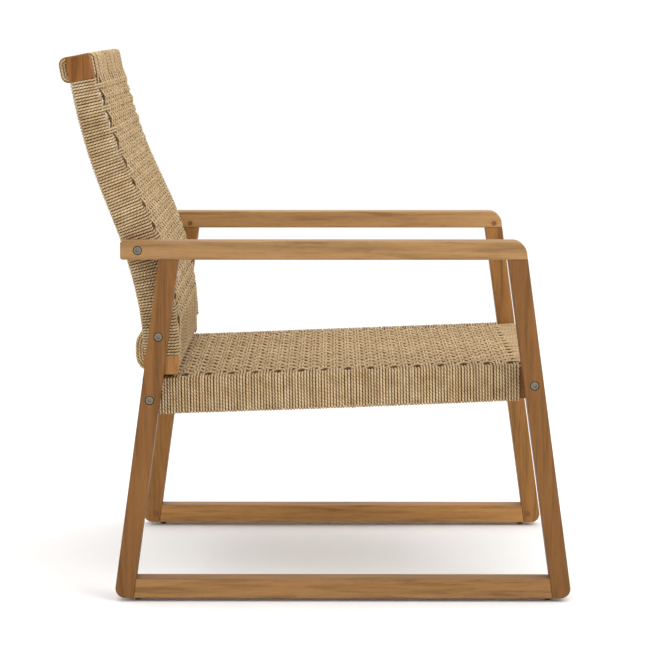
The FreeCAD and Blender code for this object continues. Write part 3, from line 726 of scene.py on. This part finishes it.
def set_roughness(tree, shader, source, smooth, rough):
    spread = node(tree, "ShaderNodeMapRange")
    spread.inputs["To Min"].default_value = smooth
    spread.inputs["To Max"].default_value = rough
    tree.links.new(source, spread.inputs["Value"])
    tree.links.new(spread.outputs["Result"], shader.inputs["Roughness"])


def set_bump(tree, shader, source, strength, distance):
    bump = node(tree, "ShaderNodeBump", Strength=strength, Distance=distance)
    tree.links.new(source, bump.inputs["Height"])
    tree.links.new(bump.outputs["Normal"], shader.inputs["Normal"])


# ---------------------------------------------------------------- cord material
PLIES = 2
TWIST_LONG = 11.0             # length of cord in which the plies go round once
FIBRE_HEIGHT = 0.35           # fibres stand out this much, against the plies


def cord_material():
    material, tree, shader = new_material("cord")
    uv = node(tree, "ShaderNodeUVMap", uv_map="along")
    along_round = split_xyz(tree, uv.outputs["UV"])
    # plies twisted together: a stripe that climbs round the cord, giving their bump and their painted
    # shade
    turn = arithmetic(tree, "MULTIPLY", along_round["X"], 1.0 / TWIST_LONG)
    climb = arithmetic(tree, "ADD", turn, along_round["Y"])
    wave = arithmetic(tree, "SINE", arithmetic(tree, "MULTIPLY", climb, 2 * PLIES * math.pi))
    ply = node(tree, "ShaderNodeMapRange")
    ply.inputs["From Min"].default_value = -1.0
    tree.links.new(wave, ply.inputs["Value"])
    # fibres: fine noise stretched along the plies
    tint = node(tree, "ShaderNodeAttribute", attribute_name="strand_tint").outputs["Fac"]
    fibre_place = node(tree, "ShaderNodeCombineXYZ")
    for socket, source in enumerate((turn, climb, tint)):
        tree.links.new(source, fibre_place.inputs[socket])
    fibre = noise(tree, fibre_place.outputs[0], Scale=14.0, Detail=3.0, Roughness=0.65)
    coords = node(tree, "ShaderNodeTexCoord")
    blotch = noise(tree, coords.outputs["Object"], Scale=55.0, Detail=4.0, Roughness=0.6)
    colour = ramp(tree, blotch, [
        (0.30, srgb(194, 166, 124)), (0.46, srgb(208, 182, 142)),
        (0.60, srgb(218, 195, 157)), (0.74, srgb(228, 210, 177))])
    # painted shade in the grooves between the plies, and a faint painted highlight on their crowns
    painted_ply_shade = ramp(tree, ply.outputs["Result"], [
        (0.0, (0.30, 0.24, 0.18, 1)), (0.35, (0.82, 0.79, 0.75, 1)), (1.0, (1.08, 1.08, 1.08, 1))])
    colour = multiply(tree, colour, painted_ply_shade, 0.55)
    fibre_shade = ramp(tree, fibre, [
        (0.25, (0.62, 0.56, 0.47, 1)), (0.55, (0.97, 0.95, 0.92, 1)), (0.8, (1.12, 1.12, 1.1, 1))])
    colour = multiply(tree, colour, fibre_shade, 0.6)
    strand = ramp(tree, tint, [
        (0.0, (0.84, 0.81, 0.77, 1)), (0.5, (1, 1, 1, 1)), (1.0, (1.06, 1.05, 1.03, 1))])
    colour = multiply(tree, colour, strand, 1.0)
    # painted shade: the flanks of a cord, next to its neighbours, are darkened as if shaded by them
    shade_between_cords = node(tree, "ShaderNodeAttribute", attribute_name="shade_between_cords").outputs["Fac"]
    painted_crevice_shade = ramp(tree, shade_between_cords, [
        (0.30, (1, 1, 1, 1)), (0.70, (0.70, 0.64, 0.56, 1)), (0.98, (0.24, 0.18, 0.13, 1))])
    colour = multiply(tree, colour, painted_crevice_shade, 1.0)
    tree.links.new(colour, shader.inputs["Base Color"])
    set_roughness(tree, shader, fibre, 0.62, 0.86)
    fibre_height = arithmetic(tree, "MULTIPLY", fibre, FIBRE_HEIGHT)
    height = arithmetic(tree, "ADD", fibre_height, ply.outputs["Result"])
    set_bump(tree, shader, height, 0.8, 0.0015)
    shader.inputs["Specular IOR Level"].default_value = 0.25
    return material


# ---------------------------------------------------------------- wood, metal and plastic
# light and dark grain of the wood of each kind of member; one wood in copies of different brightness by
# member and side, which paints the light and shade falling on them
WOOD_COLOURS_AS_LIT = {
    "arm": (srgb(158, 121, 78), srgb(128, 95, 58)),
    "far_arm": (srgb(172, 132, 86), srgb(140, 104, 64)),
    "near_leg": (srgb(124, 83, 40), srgb(98, 63, 28)),
    "far_leg": (srgb(150, 105, 54), srgb(118, 79, 38)),
    "low_rail": (srgb(152, 112, 66), srgb(120, 84, 46)),
    "far_low_rail": (srgb(174, 128, 74), srgb(138, 97, 52)),
    "end": (srgb(138, 92, 51), srgb(106, 68, 35)),
}
BRIGHTEST_GRAIN = 1.12        # against the light grain
# how the grain is drawn out
ALONG_X = (2.5, 42.0, 42.0)
ALONG_Y = (42.0, 2.5, 42.0)
ALONG_Z = (42.0, 42.0, 2.5)
GRAIN_STEP = 3.7              # moves the grain on from one member to the next
FOOT_LOW_Z = 0.40             # metres: below this a post has its foot's painted light
FOOT_HIGH_Z = 0.60
# painted light: the low end of each post is coloured much lighter than the rest of the same wood
POST_FOOT_PAINTED_LIGHT = (1.75, 2.1, 2.5)
PLAIN_TONE = (1.0, 1.0, 1.0)
POST_GLOSS = 0.05
WOOD_GLOSS = 0.22
BOLT_STEEL = (0.23, 0.21, 0.17, 1)
INSERT_BRASS = (0.76, 0.60, 0.30, 1)
DULL_METAL = 0.72             # the darker patches, against the colour


def with_painted_foot_light(tree, colour, height, foot):
    # the colour multiplied by the foot's painted light at the low end, and left alone higher up
    fade = node(tree, "ShaderNodeMapRange")
    fade.inputs["From Min"].default_value = FOOT_LOW_Z
    fade.inputs["From Max"].default_value = FOOT_HIGH_Z
    tree.links.new(height, fade.inputs["Value"])
    tone = node(tree, "ShaderNodeMix", data_type="RGBA", blend_type="MIX")
    tone.inputs[6].default_value = foot + (1.0,)
    tone.inputs[7].default_value = (1.0, 1.0, 1.0, 1.0)
    tree.links.new(fade.outputs["Result"], tone.inputs["Factor"])
    tinted = node(tree, "ShaderNodeVectorMath", operation="MULTIPLY")
    tree.links.new(colour, tinted.inputs[0])
    tree.links.new(tone.outputs[2], tinted.inputs[1])
    return tinted.outputs[0]


def wood_material(name, grain_run, light, dark, offset, gloss, foot):
    # foot: painted light of the low end, against the rest
    material, tree, shader = new_material(name)
    coords = node(tree, "ShaderNodeTexCoord")
    mapping = node(tree, "ShaderNodeMapping")
    mapping.inputs["Scale"].default_value = grain_run
    mapping.inputs["Location"].default_value = (offset, offset * 0.7, offset * 1.3)
    tree.links.new(coords.outputs["Object"], mapping.inputs["Vector"])
    place = mapping.outputs[0]
    warp = noise(tree, place, Scale=1.2, Detail=2.0)
    grain = noise(tree, place, Scale=2.6, Detail=6.0, Roughness=0.6, Distortion=0.6)
    pore = noise(tree, place, Scale=16.0, Detail=4.0, Roughness=0.7)
    brightest = tuple(min(1, c * BRIGHTEST_GRAIN) for c in light)
    colour = ramp(tree, grain, [(0.30, dark), (0.52, light), (0.75, brightest)])
    fine = ramp(tree, pore, [(0.35, (0.70, 0.64, 0.58, 1)), (0.50, (1, 1, 1, 1))])
    colour = multiply(tree, colour, fine, 0.55)
    broad = ramp(tree, warp, [(0.35, (0.88, 0.86, 0.84, 1)), (0.65, (1.05, 1.04, 1.02, 1))])
    colour = multiply(tree, colour, broad, 1.0)
    height = split_xyz(tree, coords.outputs["Object"])["Z"]
    tree.links.new(with_painted_foot_light(tree, colour, height, foot), shader.inputs["Base Color"])
    set_roughness(tree, shader, pore, 0.42, 0.62)
    set_bump(tree, shader, pore, 0.18, 0.0006)
    shader.inputs["Specular IOR Level"].default_value = gloss
    return material


def metal_material(name, colour, smooth, rough):
    material, tree, shader = new_material(name)
    coords = node(tree, "ShaderNodeTexCoord")
    patches = noise(tree, coords.outputs["Object"], Scale=400.0, Detail=3.0)
    dull = tuple(c * DULL_METAL for c in colour[:3]) + (1,)
    tone = ramp(tree, patches, [(0.3, dull), (0.7, colour)])
    tree.links.new(tone, shader.inputs["Base Color"])
    shader.inputs["Metallic"].default_value = 1.0
    set_roughness(tree, shader, patches, smooth, rough)
    return material


def plastic_material():
    material, tree, shader = new_material("glide_plastic")
    coords = node(tree, "ShaderNodeTexCoord")
    speckle = noise(tree, coords.outputs["Object"], Scale=600.0, Detail=4.0)
    tone = ramp(tree, speckle, [(0.3, srgb(52, 44, 38)), (0.7, srgb(84, 74, 64))])
    tree.links.new(tone, shader.inputs["Base Color"])
    set_bump(tree, shader, speckle, 0.2, 0.0004)
    shader.inputs["Roughness"].default_value = 0.55
    return material


def wood_of(name):
    # which copy of the wood a member gets, with the light and shade on that member painted in, and the way
    # its grain runs
    if name.startswith(("front_leg", "rear_leg")):
        return WOOD_COLOURS_AS_LIT["near_leg" if name.endswith("right") else "far_leg"], ALONG_Z
    if name.startswith("back_post"):
        return WOOD_COLOURS_AS_LIT["end"], ALONG_Z
    if name.startswith("arm_rail"):
        return WOOD_COLOURS_AS_LIT["arm" if name.endswith("right") else "far_arm"], ALONG_Y
    if name.startswith("bottom_rail"):
        return WOOD_COLOURS_AS_LIT["low_rail" if name.endswith("right") else "far_low_rail"], ALONG_Y
    if name.startswith("seat_side_rail"):
        return WOOD_COLOURS_AS_LIT["end"], ALONG_Y
    return WOOD_COLOURS_AS_LIT["end"], ALONG_X


def material_of(name, offset):
    if name == "frame_bolts":
        return metal_material("bolt_steel", BOLT_STEEL, 0.32, 0.50)
    if name == "threaded_inserts":
        return metal_material("insert_brass", INSERT_BRASS, 0.30, 0.45)
    if name == "glides":
        return plastic_material()
    (light, dark), grain_run = wood_of(name)
    is_post = name.startswith("back_post")
    gloss = POST_GLOSS if is_post else WOOD_GLOSS
    foot = POST_FOOT_PAINTED_LIGHT if is_post else PLAIN_TONE
    return wood_material("wood_" + name, grain_run, light, dark, offset, gloss, foot)


def dress_frame():
    for number, (name, part) in enumerate(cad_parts.items(), start=1):
        if "wrap" in name or "weave" in name:
            continue
        material = material_of(name, number * GRAIN_STEP)
        if part.material_slots:
            for slot in part.material_slots:
                slot.material = material
        else:
            part.data.materials.append(material)


# ---------------------------------------------------------------- stage, in metres
FLOOR_REACH = 40.0
LIT_POINT = (0, 0, 0.4)


def add_floor():
    mesh = bpy.data.meshes.new("floor")
    reach = FLOOR_REACH
    corners = [(-reach, -reach, 0), (reach, -reach, 0), (reach, reach, 0), (-reach, reach, 0)]
    mesh.from_pydata(corners, [], [(0, 1, 2, 3)])
    floor = bpy.data.objects.new("floor", mesh)
    bpy.context.scene.collection.objects.link(floor)
    material, tree, shader = new_material("floor_white")
    coords = node(tree, "ShaderNodeTexCoord")
    patches = noise(tree, coords.outputs["Object"], Scale=6.0)
    tone = ramp(tree, patches, [(0.3, grey(0.985)), (0.7, grey(0.995))])
    tree.links.new(tone, shader.inputs["Base Color"])
    shader.inputs["Roughness"].default_value = 0.9
    mesh.materials.append(material)


def add_light(name, place, size, power):
    data = bpy.data.lights.new(name, "AREA")
    data.shape = "RECTANGLE"
    data.size = size
    data.size_y = size
    data.energy = power
    lamp = bpy.data.objects.new(name, data)
    lamp.location = place
    lamp.rotation_euler = (Vector(LIT_POINT) - Vector(place)).to_track_quat("-Z", "Y").to_euler()
    bpy.context.scene.collection.objects.link(lamp)


def add_lights():
    world = bpy.data.worlds.new("studio")
    world.use_nodes = True
    background = world.node_tree.nodes["Background"]
    background.inputs["Color"].default_value = grey(1.0)
    background.inputs["Strength"].default_value = 1.03
    bpy.context.scene.world = world
    add_light("key", (-2.2, -2.2, 3.0), 2.0, 45)
    add_light("top", (0.3, 0.3, 3.6), 2.6, 35)
    add_light("fill", (-3.0, 2.4, 1.6), 2.4, 12)
    bpy.context.scene.view_settings.view_transform = "Standard"


add_camera()
add_lights()
add_floor()
dress_frame()
cord = cord_material()
build_seat(cord)
build_back(cord)
